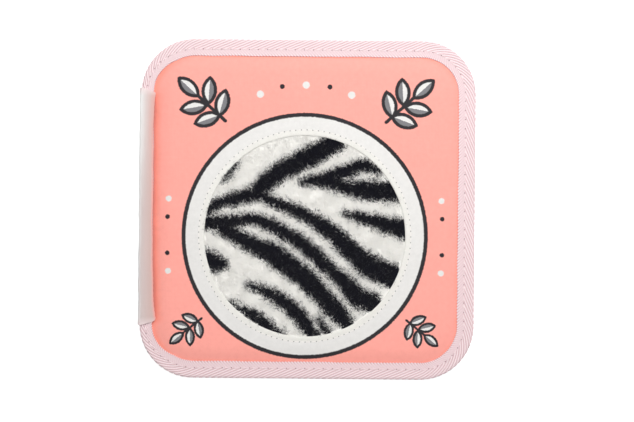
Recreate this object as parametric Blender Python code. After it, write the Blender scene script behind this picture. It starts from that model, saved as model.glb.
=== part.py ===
"""A crinkle cloth book: four padded leaves in folded binding tape, sewn together at a cloth spine.

A leaf is two face cloths round a sheet of batting and a sheet of crinkle film. Tape is folded over its edge,
and a hinge strip over the tape on the spine side. The front cover has a round window in its upper cloth, with
a plush patch sewn in behind it. The closed book lies on its back cover: +Z is up, +Y is the head of the page,
and the spine runs along Y on the -X side. Lengths are in metres.
"""

import math

import bmesh
import bpy
from mathutils import Vector

MM = 0.001

# The book
BOOK_WIDTH = 158.5 * MM
BOOK_HEIGHT = 160 * MM
CORNER_RADIUS = 25.5 * MM
LEAVES = ("back_cover", "leaf_b", "leaf_a", "front_cover")
GAP = 0.3 * MM

# Sheets of a leaf
FACE_CLOTH = 0.4 * MM
FILM_THICKNESS = 0.2 * MM
FILM_MARGIN = 4.5 * MM
BATTING_LOFT = 2.9 * MM
BATTING_AT_SEAM = 0.4 * MM
CROWN_RUN = 16 * MM

# Binding tape
TAPE_THICKNESS = 0.5 * MM
TAPE_WIDTH = 7.2 * MM
TAPE_FOLD_RADIUS = 1.2 * MM
EDGE_EASE = 0.5 * MM

# Hinge strips and spine
STRIP_CLOTH = 0.4 * MM
STRIP_LENGTH = 111.7 * MM
STRIP_RISE = 0.65 * MM
STRIP_OVERLAP = 0.3 * MM
STRIP_FOLD_RADIUS = 1.6 * MM

# Window and plush patch
WINDOW_RADIUS = 47.5 * MM
WINDOW_FLOOR = 8.2 * MM
WINDOW_SHIFT = 0.9 * MM
SEAM_ALLOWANCE = 4.5 * MM
PLUSH_BACKING = 0.6 * MM
PILE_CLEARANCE = 0.5 * MM
PILE_ROUNDING = 0.5 * MM
CUTTER_OVERRUN = 2 * MM

# Facets
CORNER_STEPS = 6
CROWN_STEPS = 3
FOLD_STEPS = 2
ROUND_STEPS = 72
LEAST_RADIUS = 0.5 * MM
SHARP_FROM = math.radians(40)

# Heights above the middle plane of a leaf
SEAM_HALF = BATTING_AT_SEAM / 2 + GAP + FACE_CLOTH
TAPE_HALF = SEAM_HALF + GAP + TAPE_THICKNESS
STRIP_HALF = TAPE_HALF + GAP + STRIP_CLOTH
FILM_DEPTH = FACE_CLOTH + GAP
BATTING_DEPTH = FILM_DEPTH + FILM_THICKNESS + GAP
PADDED_HALF = (BATTING_DEPTH + BATTING_LOFT + GAP + FACE_CLOTH) / 2
LEAF_HALF = max(PADDED_HALF, STRIP_HALF)
LEAF_PITCH = 2 * LEAF_HALF + GAP
HINGE_HEIGHT = len(LEAVES) * LEAF_PITCH / 2 - GAP / 2

# Distances from the spine's fold line, and insets from the edge of a leaf
HINGE_X = -BOOK_WIDTH / 2 - GAP / 2
COVER_WALL = GAP / 2
INNER_WALL = COVER_WALL + STRIP_CLOTH + GAP
CLOTH_INSET = TAPE_THICKNESS + EDGE_EASE
CROWN_START = TAPE_WIDTH + GAP
FILM_INSET = TAPE_WIDTH + FILM_MARGIN

# Place of the window, and the room for the front cover's crown beside the plush patch
PATCH_RADIUS = WINDOW_RADIUS + SEAM_ALLOWANCE
WINDOW_X = -WINDOW_SHIFT
WINDOW_Y = -BOOK_HEIGHT / 2 + TAPE_WIDTH + WINDOW_FLOOR + PATCH_RADIUS
PATCH_INSET = min(TAPE_WIDTH + WINDOW_FLOOR, BOOK_WIDTH / 2 - WINDOW_SHIFT - PATCH_RADIUS)
FRONT_CROWN_RUN = PATCH_INSET - CROWN_START - GAP
PLUSH_ROOM = PLUSH_BACKING + GAP

# Colour and roughness of each material
CORAL_CLOTH = ((0.95, 0.42, 0.34), 0.85)
BLUSH_CLOTH = ((0.90, 0.66, 0.64), 0.85)
GREY_CLOTH = ((0.42, 0.43, 0.46), 0.85)
CREAM_CLOTH = ((0.86, 0.82, 0.74), 0.85)
WHITE_COTTON = ((0.84, 0.82, 0.80), 0.9)
PINK_TAPE = ((0.88, 0.74, 0.74), 0.8)
BATTING = ((0.92, 0.92, 0.90), 0.95)
FILM = ((0.80, 0.84, 0.86), 0.25)
PLUSH = ((0.30, 0.30, 0.32), 0.95)
FACE_CLOTHS = {
    "back_cover": (CREAM_CLOTH, CORAL_CLOTH),
    "leaf_b": (GREY_CLOTH, BLUSH_CLOTH),
    "leaf_a": (BLUSH_CLOTH, CREAM_CLOTH),
    "front_cover": (CORAL_CLOTH, GREY_CLOTH),
}


def clear_scene():
    for obj in list(bpy.data.objects):
        bpy.data.objects.remove(obj, do_unlink=True)


def arc(centre, radius, start, end, steps):
    """Points (across, up) along an arc, from one angle to another in degrees."""
    angles = [math.radians(start + (end - start) * step / steps) for step in range(steps + 1)]
    return [(centre[0] + radius * math.cos(a), centre[1] + radius * math.sin(a)) for a in angles]


def rounded_loop(left, inset, height):
    """The outline of a leaf whose spine edge is at x = left, drawn in by an inset, as points at one height."""
    radius = max(CORNER_RADIUS - inset, LEAST_RADIUS)
    low_x, high_x = left + inset + radius, BOOK_WIDTH / 2 - inset - radius
    high_y = BOOK_HEIGHT / 2 - inset - radius
    corners = ((high_x, -high_y, -90), (high_x, high_y, 0), (low_x, high_y, 90), (low_x, -high_y, 180))
    points = []
    for x, y, start in corners:
        points += arc((x, y), radius, start, start + 90, CORNER_STEPS)
    return [Vector((x, y, height)) for x, y in points]


def round_loop(radius, height):
    """A circle of points round the centre of the window."""
    points = arc((WINDOW_X, WINDOW_Y), radius, 0, 360, ROUND_STEPS)[:-1]
    return [Vector((x, y, height)) for x, y in points]


def skin(bm, loops, ring=False):
    """Joins loops of points with faces. A ring also joins the last to the first, and a body gets two caps."""
    rows = [[bm.verts.new(point) for point in loop] for loop in loops]
    pairs = list(zip(rows, rows[1:]))
    if ring:
        pairs.append((rows[-1], rows[0]))
    else:
        bm.faces.new(rows[0])
        bm.faces.new(rows[-1])
    for one, other in pairs:
        for i, vert in enumerate(one):
            bm.faces.new((one[i - 1], vert, other[i], other[i - 1]))
    bmesh.ops.recalc_face_normals(bm, faces=bm.faces)


def finish(name, bm, hinge, level, look):
    """Makes an object of the mesh, hung on a hinge, with its middle plane at a level and its own material."""
    mesh = bpy.data.meshes.new(name)
    bm.to_mesh(mesh)
    bm.free()
    mesh.shade_smooth()
    mesh.set_sharp_from_angle(angle=SHARP_FROM)
    obj = bpy.data.objects.new(name, mesh)
    bpy.context.scene.collection.objects.link(obj)
    obj.location = (0, 0, level)
    if hinge:
        obj.parent = hinge
        obj.location = (-HINGE_X, 0, level - HINGE_HEIGHT)
    colour, roughness = look
    material = bpy.data.materials.new(name)
    material.use_nodes = True
    surface = material.node_tree.nodes["Principled BSDF"]
    surface.inputs["Base Color"].default_value = (*colour, 1)
    surface.inputs["Roughness"].default_value = roughness
    surface.inputs["Metallic"].default_value = 0
    mesh.materials.append(material)
    return obj


def crown(inset, run):
    """Half the thickness of a padded leaf, this far in from its edge: level under the tape, then swelling."""
    share = min(max((inset - CROWN_START) / run, 0), 1)
    return SEAM_HALF + (PADDED_HALF - SEAM_HALF) * math.sin(share * math.pi / 2)


def crown_insets(start, run):
    """Insets from a sheet's edge to where the crown is level again, in even steps over the swelling."""
    end = CROWN_START + run
    first = [start] if start >= CROWN_START else [start, CROWN_START]
    return first + [first[-1] + (end - first[-1]) * step / CROWN_STEPS for step in range(1, CROWN_STEPS + 1)]


def sheet(left, start, outer, inner, run):
    """Loops of a sheet that ends at the inset start, between two heights that are functions of the inset."""
    insets = crown_insets(start, run)
    over = [rounded_loop(left, inset, outer(inset)) for inset in reversed(insets)]
    under = [rounded_loop(left, inset, inner(inset)) for inset in insets]
    return over + under


def face_cloth(name, left, side, run, hinge, level, look):
    """A face cloth. Side is 1 on the upper face of the leaf and -1 on the lower one."""
    bm = bmesh.new()
    skin(bm, sheet(
        left,
        CLOTH_INSET,
        lambda inset: side * crown(inset, run),
        lambda inset: side * (crown(inset, run) - FACE_CLOTH),
        run,
    ))
    return finish(name, bm, hinge, level, look)


def film(name, left, run, room, hinge, level):
    """The crinkle film, under the upper cloth and whatever takes up room between them."""
    bm = bmesh.new()
    skin(bm, sheet(
        left,
        FILM_INSET,
        lambda inset: crown(inset, run) - room - FILM_DEPTH,
        lambda inset: crown(inset, run) - room - FILM_DEPTH - FILM_THICKNESS,
        run,
    ))
    return finish(name, bm, hinge, level, FILM)


def batting_depth(inset, room):
    """How far the batting lies under the outside of the upper cloth: deeper where film and plush lie on it."""
    share = min(max((inset - CROWN_START) / (FILM_INSET - GAP - CROWN_START), 0), 1)
    return FILM_DEPTH + share * (BATTING_DEPTH + room - FILM_DEPTH)


def batting(name, left, run, room, hinge, level):
    """The batting, thin in the seams and thick in the middle, with the film's bed in its upper face."""
    upper_insets = crown_insets(CLOTH_INSET, run)
    upper_insets = sorted(upper_insets + [FILM_INSET - GAP], reverse=True)
    loops = [
        rounded_loop(left, inset, crown(inset, run) - batting_depth(inset, room)) for inset in upper_insets
    ]
    loops += [
        rounded_loop(left, inset, FACE_CLOTH + GAP - crown(inset, CROWN_RUN))
        for inset in crown_insets(CLOTH_INSET, CROWN_RUN)
    ]
    bm = bmesh.new()
    skin(bm, loops)
    return finish(name, bm, hinge, level, BATTING)


def folded_section(thickness, half, width, radius):
    """A strip folded over an edge, as (inset, height) points: its outside from top to bottom, then its inside."""
    middle = half - radius
    outside = [(width, half)]
    outside += arc((radius, middle), radius, 90, 180, FOLD_STEPS)
    outside += arc((radius, -middle), radius, 180, 270, FOLD_STEPS)
    outside += [(width, -half)]
    inside = [(width, thickness - half)]
    inside += arc((radius, -middle), radius - thickness, 270, 180, FOLD_STEPS)
    inside += arc((radius, middle), radius - thickness, 180, 90, FOLD_STEPS)
    inside += [(width, half - thickness)]
    return outside + inside


def tape(name, left, hinge, level):
    """The binding tape, folded over the whole edge of a leaf."""
    section = folded_section(TAPE_THICKNESS, TAPE_HALF, TAPE_WIDTH, TAPE_FOLD_RADIUS)
    bm = bmesh.new()
    skin(bm, [rounded_loop(left, inset, height) for inset, height in section], ring=True)
    return finish(name, bm, hinge, level, PINK_TAPE)


def cover_section(width, spine_side):
    """A cover's hinge strip: folded over the edge, with a wall that runs on to the stitch line of the spine.

    Spine_side is 1 where the spine is above the cover and -1 where it is below.
    """
    middle = STRIP_HALF - STRIP_FOLD_RADIUS
    reach = LEAF_PITCH * (len(LEAVES) - 1) / 2 - GAP / 2
    inner_radius = STRIP_FOLD_RADIUS - STRIP_CLOTH
    points = [(width, -STRIP_HALF)]
    points += arc((STRIP_FOLD_RADIUS, -middle), STRIP_FOLD_RADIUS, 270, 180, FOLD_STEPS)
    points += [(0, reach), (STRIP_CLOTH, reach), (STRIP_CLOTH, STRIP_HALF), (width, STRIP_HALF)]
    points += [(width, STRIP_HALF - STRIP_CLOTH)]
    points += arc((STRIP_FOLD_RADIUS, middle), inner_radius, 90, 180, FOLD_STEPS)
    points += arc((STRIP_FOLD_RADIUS, -middle), inner_radius, 180, 270, FOLD_STEPS)
    points += [(width, STRIP_CLOTH - STRIP_HALF)]
    return [(inset, spine_side * height) for inset, height in points]


def hinge_strip(name, wall, section, hinge, level):
    """A hinge strip of this section, from its head end to its tail end. Wall is its distance from the fold line."""
    bm = bmesh.new()
    foot = STRIP_RISE - STRIP_LENGTH / 2
    outline = [bm.verts.new((HINGE_X + wall + inset, foot, height)) for inset, height in section]
    end = bmesh.ops.extrude_face_region(bm, geom=[bm.faces.new(outline)], use_keep_orig=True)
    far = [item for item in end["geom"] if isinstance(item, bmesh.types.BMVert)]
    bmesh.ops.translate(bm, vec=(0, STRIP_LENGTH, 0), verts=far)
    bmesh.ops.recalc_face_normals(bm, faces=bm.faces)
    return finish(name, bm, hinge, level, WHITE_COTTON)


def cut_window(cloth):
    """Cuts the round window in the front cover's upper cloth."""
    bm = bmesh.new()
    skin(bm, [
        round_loop(WINDOW_RADIUS, PADDED_HALF + CUTTER_OVERRUN),
        round_loop(WINDOW_RADIUS, PADDED_HALF - FACE_CLOTH - CUTTER_OVERRUN),
    ])
    cutter = finish("window_cutter", bm, cloth.parent, cloth.location.z + HINGE_HEIGHT, CORAL_CLOTH)
    cutter.hide_render = True
    cutter.display_type = "WIRE"
    cut = cloth.modifiers.new("window", "BOOLEAN")
    cut.operation = "DIFFERENCE"
    cut.object = cutter
    cut.solver = "EXACT"


def plush_patch(hinge, level):
    """The plush: a backing that reaches under the cloth round the window, and the pile that fills the window."""
    top = PADDED_HALF - FACE_CLOTH - GAP
    pile = WINDOW_RADIUS - PILE_CLEARANCE
    bm = bmesh.new()
    skin(bm, [
        round_loop(PATCH_RADIUS, top - PLUSH_BACKING),
        round_loop(PATCH_RADIUS, top),
        round_loop(pile, top),
        round_loop(pile, PADDED_HALF - PILE_ROUNDING),
        round_loop(pile - PILE_ROUNDING, PADDED_HALF),
    ])
    return finish("plush_patch", bm, hinge, level, PLUSH)


def make_leaf(name, place, hinge):
    """All pieces of one leaf. Place counts the leaves from the bottom, and a hinge is an empty or None."""
    level = LEAF_HALF + place * LEAF_PITCH
    is_cover = name in (LEAVES[0], LEAVES[-1])
    is_front = name == LEAVES[-1]
    wall = COVER_WALL if is_cover else INNER_WALL
    left = HINGE_X + wall + STRIP_CLOTH + GAP
    upper_run = FRONT_CROWN_RUN if is_front else CROWN_RUN
    room = PLUSH_ROOM if is_front else 0
    upper_look, lower_look = FACE_CLOTHS[name]
    upper = face_cloth(f"{name}_upper_cloth", left, 1, upper_run, hinge, level, upper_look)
    face_cloth(f"{name}_lower_cloth", left, -1, CROWN_RUN, hinge, level, lower_look)
    film(f"{name}_film", left, upper_run, room, hinge, level)
    batting(f"{name}_batting", left, upper_run, room, hinge, level)
    tape(f"{name}_tape", left, hinge, level)
    width = STRIP_CLOTH + GAP + TAPE_WIDTH + STRIP_OVERLAP
    if is_cover:
        section = cover_section(width, -1 if is_front else 1)
    else:
        section = folded_section(STRIP_CLOTH, STRIP_HALF, width, STRIP_FOLD_RADIUS)
    hinge_strip(f"{name}_hinge_strip", wall, section, hinge, level)
    if is_front:
        cut_window(upper)
        plush_patch(hinge, level)


def make_book():
    """The back cover lies still. Each leaf above turns about the spine on the one below, and carries the rest."""
    hinge = None
    for place, name in enumerate(LEAVES):
        if place:
            below = hinge
            hinge = bpy.data.objects.new(f"{name}_hinge", None)
            bpy.context.scene.collection.objects.link(hinge)
            hinge.parent = below
            hinge.location = (0, 0, 0) if below else (HINGE_X, 0, HINGE_HEIGHT)
        make_leaf(name, place, hinge)


clear_scene()
make_book()
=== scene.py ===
"""The looks of a crinkle cloth book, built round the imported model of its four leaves.

Batting, film, printed cloths, plush, tape, hinge strips and their seams each have a section of their own.
Lengths are in metres, and patterns are in millimetres.
"""
import math

import bmesh
import bpy
import numpy as np
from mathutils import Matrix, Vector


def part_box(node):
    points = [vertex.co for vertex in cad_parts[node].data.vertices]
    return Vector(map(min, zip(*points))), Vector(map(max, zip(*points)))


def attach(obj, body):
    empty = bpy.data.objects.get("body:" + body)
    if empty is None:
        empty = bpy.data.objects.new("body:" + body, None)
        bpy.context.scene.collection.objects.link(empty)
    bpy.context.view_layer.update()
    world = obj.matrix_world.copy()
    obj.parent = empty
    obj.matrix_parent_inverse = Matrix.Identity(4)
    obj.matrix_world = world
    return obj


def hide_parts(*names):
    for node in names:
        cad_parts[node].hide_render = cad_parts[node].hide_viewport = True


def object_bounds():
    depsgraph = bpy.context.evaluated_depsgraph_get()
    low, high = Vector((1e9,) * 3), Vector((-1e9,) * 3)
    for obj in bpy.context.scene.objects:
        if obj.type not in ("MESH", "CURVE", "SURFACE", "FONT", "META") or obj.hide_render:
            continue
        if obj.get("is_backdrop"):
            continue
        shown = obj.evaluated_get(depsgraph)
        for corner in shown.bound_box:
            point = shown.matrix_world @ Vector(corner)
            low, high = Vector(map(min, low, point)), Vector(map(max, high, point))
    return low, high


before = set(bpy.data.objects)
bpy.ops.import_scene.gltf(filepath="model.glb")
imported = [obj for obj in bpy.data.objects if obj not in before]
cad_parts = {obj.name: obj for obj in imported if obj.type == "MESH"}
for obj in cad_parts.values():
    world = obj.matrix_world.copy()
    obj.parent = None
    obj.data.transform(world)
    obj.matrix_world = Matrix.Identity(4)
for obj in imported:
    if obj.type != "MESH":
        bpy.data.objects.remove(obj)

cad_low, cad_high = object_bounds()
scene = bpy.context.scene
MM = 0.001

# Batting
# A sheet of carded polyester wadding, needled so that it holds together, lies between a leaf's two cloths.
# It is about 3 mm thick where it lies free, and squeezed flat in the seam under the tape.
LEAVES = ("back_cover", "leaf_b", "leaf_a", "front_cover")
CORNER_RADIUS = 25.5 * MM
TAPE_WIDTH = 7.2 * MM
SEAM_HALF = 0.9 * MM
SEAM_EASE = 0.3 * MM
PAGE_HALF = 2.4 * MM
PAGE_RUN = 16 * MM
FRONT_RUN = 7.6 * MM
BATTING_CELLS = 40
BATTING_INSET = 1.2 * MM
UNDER_CLOTH = 0.75 * MM
FILM_BED_START = 7.5 * MM
FILM_BED_RUN = 4 * MM
FILM_BED_DEPTH = 0.6 * MM
FRONT_BED_DEPTH = 1.2 * MM
LUMP_HEIGHT = 0.04 * MM
LUMP_SIZE = 9 * MM


def add(tree, kind, inputs=None, output=0, **settings):
    """Adds a node with its settings, gives its inputs a value or a link, and returns one of its outputs."""
    made = tree.nodes.new(kind)
    for name, value in settings.items():
        setattr(made, name, value)
    for key, value in (inputs or {}).items():
        if isinstance(value, bpy.types.NodeSocket):
            tree.links.new(value, made.inputs[key])
        else:
            made.inputs[key].default_value = value
    return made.outputs[output]


def linear(colour):
    """An sRGB hex colour as linear red, green, blue and alpha."""
    shares = [int(colour[i:i + 2], 16) / 255 for i in (0, 2, 4)]
    return (*[s / 12.92 if s <= 0.04045 else ((s + 0.055) / 1.055) ** 2.4 for s in shares], 1)


MATERIALS = {}


def start_material(name):
    """An empty material, kept by its name, whose tree is ready for a pattern."""
    material = bpy.data.materials.new(name)
    material.use_nodes = True
    MATERIALS[name] = material
    return material.node_tree


def new_material(name, colour, roughness, height=None, depth=0.0, sheen=0.0, gloss=0.5):
    """A started material, finished with a colour of its own tree, and with bumps of a depth in metres."""
    tree = MATERIALS[name].node_tree
    surface = tree.nodes["Principled BSDF"]
    tree.links.new(colour, surface.inputs["Base Color"])
    surface.inputs["Roughness"].default_value = roughness
    surface.inputs["Specular IOR Level"].default_value = gloss
    surface.inputs["Sheen Weight"].default_value = sheen
    surface.inputs["Sheen Roughness"].default_value = 0.5
    if height is not None:
        bump = add(tree, "ShaderNodeBump", {"Height": height, "Distance": depth})
        tree.links.new(bump, surface.inputs["Normal"])
    return MATERIALS[name]


def in_mm(tree):
    """The place of a point on the book in millimetres, for patterns that are measured there."""
    place = add(tree, "ShaderNodeTexCoord", output="Object")
    return add(tree, "ShaderNodeVectorMath", {0: place, "Scale": 1 / MM}, operation="SCALE")


def new_object(name, points, faces, material, smooth=True):
    """An object of a mesh that is given as points and faces, whose faces already point outwards."""
    mesh = bpy.data.meshes.new(name)
    mesh.from_pydata([tuple(p) for p in points], [], faces)
    if smooth:
        mesh.shade_smooth()
    mesh.materials.append(material)
    obj = bpy.data.objects.new(name, mesh)
    scene.collection.objects.link(obj)
    return obj


def outline_of(leaf):
    """The centre and the half size of a leaf in plan, and the height of its middle plane."""
    low, high = (np.array(corner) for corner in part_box(f"{leaf}_tape"))
    return (low + high)[:2] / 2, (high - low)[:2] / 2, (low + high)[2] / 2


def edge_distance(leaf, places):
    """How far in from the rounded edge of a leaf each place lies."""
    centre, half, _ = outline_of(leaf)
    past = np.abs(places[:, :2] - centre) - (half - CORNER_RADIUS)
    return CORNER_RADIUS - np.linalg.norm(np.maximum(past, 0), axis=1) - np.minimum(past.max(axis=1), 0)


def crown(inset, run):
    """Half the thickness of a padded leaf: level under the tape, then swelling over a run."""
    share = np.clip((inset - TAPE_WIDTH - SEAM_EASE) / run, 0, 1)
    return SEAM_HALF + (PAGE_HALF - SEAM_HALF) * np.sin(share * math.pi / 2)


def page_grid(leaf, inset, cells):
    """A square grid drawn into the rounded outline of a leaf: its places, and its faces, which look up."""
    centre, half, _ = outline_of(leaf)
    steps = np.linspace(-1, 1, cells + 1)
    across, along = (axis.ravel() for axis in np.meshgrid(steps, steps, indexing="ij"))
    ring = np.maximum(np.maximum(abs(across), abs(along)), 1e-9)
    size, radius = half - inset, CORNER_RADIUS - inset
    on_edge = np.stack([across / ring, along / ring], axis=1) * size
    past = np.maximum(abs(on_edge) - (size - radius), 0)
    past *= radius / np.maximum(np.linalg.norm(past, axis=1, keepdims=True), 1e-9)
    rounded = np.sign(on_edge) * (np.minimum(abs(on_edge), size - radius) + past)
    places = centre + rounded * ring[:, None]
    number = np.arange((cells + 1) ** 2).reshape(cells + 1, cells + 1)
    corners = (number[:-1, :-1], number[1:, :-1], number[1:, 1:], number[:-1, 1:])
    return places, np.stack([c.ravel() for c in corners], axis=1).tolist()


def ripples(places, seed, size, count=24):
    """Smooth random heights from about -1 to 1, as a sum of waves no shorter than a size."""
    dice = np.random.default_rng(seed)
    angles = dice.uniform(0, 2 * math.pi, count)
    lengths = size * dice.uniform(1, 3, count)
    phases = dice.uniform(0, 2 * math.pi, count)
    heights = np.zeros(len(places))
    for angle, length, phase in zip(angles, lengths, phases):
        travel = places[:, 0] * math.cos(angle) + places[:, 1] * math.sin(angle)
        heights += np.sin(2 * math.pi * travel / length + phase)
    return heights / math.sqrt(count)


def closed_pad(name, leaf, inset, cells, top, bottom, material):
    """A closed pad between two heights, which are functions of the places, inside the outline of a leaf."""
    places, faces = page_grid(leaf, inset, cells)
    level = outline_of(leaf)[2]
    upper = np.column_stack([places, level + top(places)])
    lower = np.column_stack([places, level + bottom(places)])
    count = len(places)
    under = [[i + count for i in reversed(face)] for face in faces]
    number = np.arange(count).reshape(cells + 1, cells + 1)
    rim = [*number[:, 0], *number[-1, 1:], *number[-2::-1, -1], *number[0, -2:0:-1]]
    wall = [[rim[i - 1], rim[i - 1] + count, rim[i] + count, rim[i]] for i in range(len(rim))]
    return new_object(name, np.vstack([upper, lower]), faces + under + wall, material)


# Carded fibre: matt white, softly clumped in grey, with no clear surface, as loose fibres scatter the light.
tree = start_material("needled polyester wadding")
place = in_mm(tree)
clumps = add(tree, "ShaderNodeTexNoise", {"Vector": place, "Scale": 0.35, "Detail": 5.0})
hairs = add(tree, "ShaderNodeTexNoise", {"Vector": place, "Scale": 2.2, "Detail": 3.0, "Distortion": 1.5})
tones = {0: clumps, 6: linear("E4E3DE"), 7: linear("F6F6F3")}
wadding_colour = add(tree, "ShaderNodeMix", tones, 2, data_type="RGBA")
WADDING = new_material("needled polyester wadding", wadding_colour, 0.95, hairs, 0.4 * MM, 0.3)

for leaf in LEAVES:
    is_front = leaf == "front_cover"

    def top(places, leaf=leaf, is_front=is_front):
        inset = edge_distance(leaf, places)
        bed = np.clip((inset - FILM_BED_START) / FILM_BED_RUN, 0, 1)
        bed *= FRONT_BED_DEPTH if is_front else FILM_BED_DEPTH
        lumps = LUMP_HEIGHT * ripples(places, 3, LUMP_SIZE)
        return crown(inset, FRONT_RUN if is_front else PAGE_RUN) - UNDER_CLOTH - bed + lumps

    def bottom(places, leaf=leaf):
        lumps = LUMP_HEIGHT * ripples(places, 4, LUMP_SIZE)
        return UNDER_CLOTH - crown(edge_distance(leaf, places), PAGE_RUN) + lumps

    pad = closed_pad(f"{leaf}_wadding", leaf, BATTING_INSET, BATTING_CELLS, top, bottom, WADDING)
    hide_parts(f"{leaf}_batting")
    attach(pad, leaf)

# Crinkle film
# A sheet of thin polypropylene film lies loose on the batting and rustles when the leaf is squeezed.
# It is cut by hand to stop short of the seam, and it keeps the creases of every squeeze.
FILM_INSET = 11.9 * MM
FILM_CELLS = 48
FILM_THICKNESS = 0.12 * MM
FILM_DEPTH = 0.8 * MM
FRONT_FILM_DEPTH = 1.7 * MM
CREASE_COUNT = 30
CREASE_SPREAD = 70
CREASE_HEIGHT = 0.05 * MM
CREASE_SIZE = 6 * MM


def creases(places, seed, size):
    """Sharp folds of random direction and place: the height falls away on both sides of each."""
    dice = np.random.default_rng(seed)
    heights = np.zeros(len(places))
    for _ in range(CREASE_COUNT):
        angle, offset = dice.uniform(0, 2 * math.pi), dice.uniform(-CREASE_SPREAD, CREASE_SPREAD) * MM
        travel = places[:, 0] * math.cos(angle) + places[:, 1] * math.sin(angle) - offset
        heights += dice.uniform(-1, 1) * np.maximum(1 - abs(travel) / size, 0)
    return heights / 3


def colour_steps(tree, value, steps):
    """A colour that goes from one tone to the next as a value passes their places."""
    colour = add(tree, "ShaderNodeValToRGB", {0: value})
    ramp = colour.node.color_ramp
    for spot, _ in steps[2:]:
        ramp.elements.new(spot)
    for element, (spot, tone) in zip(ramp.elements, steps):
        element.position = spot
        element.color = linear(tone)
    return colour


# Clear film with a hard gloss; the creases catch the light as fine white lines.
tree = start_material("clear crinkle film")
place = in_mm(tree)
fold_lines = add(tree, "ShaderNodeTexVoronoi", {"Vector": place, "Scale": 0.09}, feature="DISTANCE_TO_EDGE")
film_colour = colour_steps(tree, fold_lines, ((0.0, "F7F9FA"), (0.25, "D5DEE3")))
FILM = new_material("clear crinkle film", film_colour, 0.2, fold_lines, 0.3 * MM)

for leaf in LEAVES:
    places, faces = page_grid(leaf, FILM_INSET, FILM_CELLS)
    run, depth = (FRONT_RUN, FRONT_FILM_DEPTH) if leaf == "front_cover" else (PAGE_RUN, FILM_DEPTH)
    heights = outline_of(leaf)[2] + crown(edge_distance(leaf, places), run) - depth
    heights += CREASE_HEIGHT * creases(places, LEAVES.index(leaf), CREASE_SIZE)
    film = new_object(f"{leaf}_crinkle_sheet", np.column_stack([places, heights]), faces, FILM)
    wall = film.modifiers.new("thickness", "SOLIDIFY")
    wall.thickness = FILM_THICKNESS
    size = 2 * (outline_of(leaf)[1] - FILM_INSET)
    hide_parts(f"{leaf}_film")
    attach(film, leaf)

# Printed face cloths
# Each face is a square of close polyester cloth, heat-printed before it is cut, and sewn in under the tape.
# It has a little more cloth than it needs, so that it buckles softly beside the seams.
CLOTH_INSET = 1.1 * MM
CLOTH_THICKNESS = 0.28 * MM
CLOTH_CELLS = 70
SIMULATED_SIZE = 10
SETTLING_FRAMES = 24
WINDOW_CENTRE = np.array([-0.9, -12.6]) * MM
WINDOW_RADIUS = 47.5 * MM
WINDOW_SEAM = 2.4 * MM
WINDOW_TURNING = 4 * MM
CELLS_ROUND = 256
CELLS_OUT = 26
PAGE_DEPTH = 0.6 * MM
FRONT_DEPTH = 0.35 * MM
GATHERED_BAND = 22 * MM


def settle(places, faces, sewn, spare, seed):
    """Heights of a cloth with spare width between its seams, simulated from slight starting ripples."""
    start = ripples(places, seed, 14 * MM) * 0.02 * MM * (1 - sewn)
    points = np.column_stack([places, start]) * SIMULATED_SIZE
    cloth = new_object("settling_cloth", points, faces, WADDING)
    for name, weights in (("sewn", sewn), ("spare", spare)):
        group = cloth.vertex_groups.new(name=name)
        for i, weight in enumerate(weights.tolist()):
            group.add([i], weight, "REPLACE")
    modifier = cloth.modifiers.new("cloth", "CLOTH")
    physics = modifier.settings
    physics.quality = 6
    physics.mass = 0.15
    physics.tension_stiffness = physics.compression_stiffness = 20
    physics.shear_stiffness = 10
    physics.bending_stiffness = 2
    physics.air_damping = 2
    physics.vertex_group_mass = "sewn"
    physics.vertex_group_shrink = "spare"
    physics.shrink_max = -0.12
    physics.shrink_min = -0.001
    physics.use_pressure = True
    physics.uniform_pressure_force = 0.03
    physics.effector_weights.gravity = 0
    modifier.collision_settings.use_collision = False
    modifier.point_cache.frame_end = SETTLING_FRAMES
    calm = cloth.modifiers.new("calm", "SMOOTH")
    calm.iterations = 8
    for step in range(1, SETTLING_FRAMES + 1):
        scene.frame_set(step)
    settled = cloth.evaluated_get(bpy.context.evaluated_depsgraph_get()).data
    heights = np.array([v.co.z for v in settled.vertices]) / SIMULATED_SIZE
    bpy.data.objects.remove(cloth)
    scene.frame_set(1)
    return heights


def seam_weights(inset):
    """Where a cloth is sewn down under the tape, and how much spare cloth the seam gathers beside it."""
    sewn = (inset < TAPE_WIDTH).astype(float)
    return sewn, np.clip(1 - (inset - TAPE_WIDTH) / GATHERED_BAND, 0, 1) ** 2


def inked(tree, distance, edge=0.0, blur=0.16):
    """A mask that is 1 where a distance in millimetres is under an edge, with the soft rim of printed ink."""
    limits = {"Value": distance, 1: edge - blur, 2: edge + blur, 3: 1.0, 4: 0.0}
    return add(tree, "ShaderNodeMapRange", limits)


def moved_to(tree, place, x, y, turn=0.0, scale=1.0):
    """The place as seen from a motif that stands at x, y, turned by degrees and scaled."""
    settings = {"Vector": place, "Location": (x, y, 0), "Scale": (scale,) * 3}
    settings["Rotation"] = (0, 0, math.radians(turn))
    return add(tree, "ShaderNodeMapping", settings, vector_type="TEXTURE")


def leaf_shape(tree, place, half_length, half_width):
    """Distance to a pointed leaf round the origin, less than zero inside it."""
    radius = (half_length ** 2 + half_width ** 2) / (2 * half_width)
    folded = add(tree, "ShaderNodeVectorMath", {0: place}, operation="ABSOLUTE")
    aside = add(tree, "ShaderNodeVectorMath", {0: folded, 1: (radius - half_width, 0, 0)}, operation="ADD")
    reach = add(tree, "ShaderNodeVectorMath", {0: aside}, "Value", operation="LENGTH")
    return add(tree, "ShaderNodeMath", {0: reach, 1: radius}, operation="SUBTRACT")


def round_shape(tree, place, x, y, radius):
    """Distance to a dot."""
    reach = add(tree, "ShaderNodeVectorMath", {0: place, 1: (x, y, 0)}, "Value", operation="DISTANCE")
    return add(tree, "ShaderNodeMath", {0: reach, 1: radius}, operation="SUBTRACT")


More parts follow.
